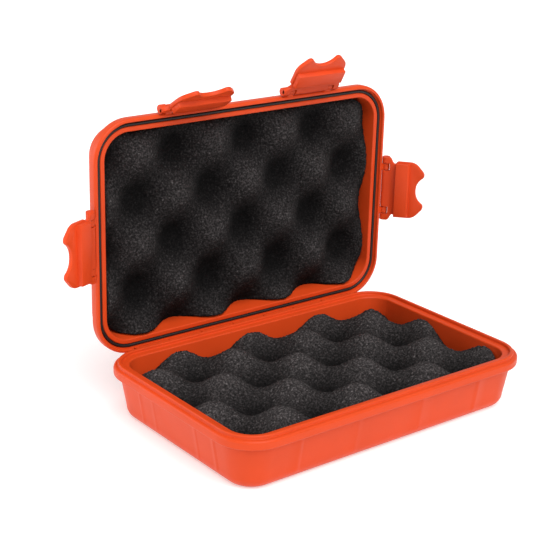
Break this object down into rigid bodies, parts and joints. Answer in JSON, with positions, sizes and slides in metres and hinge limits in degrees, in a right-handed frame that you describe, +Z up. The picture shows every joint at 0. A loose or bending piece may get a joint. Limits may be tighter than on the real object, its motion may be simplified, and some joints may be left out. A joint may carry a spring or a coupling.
{
  "type": "first aid kit case",
  "caption": "Hinged waterproof first aid case with a flanged rim, over-flange latches and egg-crate foam in both halves, lid standing open.",
  "frame": {"origin": "centre of the base's flat underside", "axes": "+X along the hinge to the right, +Y from the front towards the hinge, +Z up; the lid stands open behind the base"},
  "size_m": [0.1988, 0.1248, 0.1501],
  "materials": {
    "shell": "satin injection-moulded polycarbonate, orange-red",
    "latch": "satin injection-moulded plastic, orange-red",
    "seal": "soft black O-ring rubber",
    "foam": "dark grey open-cell convoluted foam, matt and porous",
    "steel": "plain stainless pin wire"
  },
  "bodies": {
    "base": {"base_shell": "shell", "base_foam": "foam", "hinge_pin": "steel"},
    "lid": {"lid_shell": "shell", "lid_foam": "foam", "gasket": "seal", "latch_pin_front_left": "steel", "latch_pin_front_right": "steel", "latch_pin_left": "steel", "latch_pin_right": "steel"},
    "latch_front_left": {"latch_front_left": "latch"},
    "latch_front_right": {"latch_front_right": "latch"},
    "latch_left": {"latch_left": "latch"},
    "latch_right": {"latch_right": "latch"}
  },
  "joints": [
    {"name": "lid_hinge", "type": "hinge", "parent": "base", "child": "lid", "pos_m": [0, 0.05334, 0.02446], "axis": [1, 0, 0], "range_deg": [0, 89.6]},
    {"name": "latch_front_left_pivot", "type": "hinge", "parent": "lid", "child": "latch_front_left", "pos_m": [-0.0335, 0.05352, 0.1341], "axis": [1, 0, 0], "range_deg": [-83, 32]},
    {"name": "latch_front_right_pivot", "type": "hinge", "parent": "lid", "child": "latch_front_right", "pos_m": [0.0335, 0.05352, 0.1341], "axis": [1, 0, 0], "range_deg": [-56, 59]},
    {"name": "latch_left_pivot", "type": "hinge", "parent": "lid", "child": "latch_left", "pos_m": [-0.0848, 0.05391, 0.0778], "axis": [0, -0.007, 1], "range_deg": [-48, 67]},
    {"name": "latch_right_pivot", "type": "hinge", "parent": "lid", "child": "latch_right", "pos_m": [0.0848, 0.05391, 0.0778], "axis": [0, 0.007, -1], "range_deg": [-75, 40]}
  ]
}
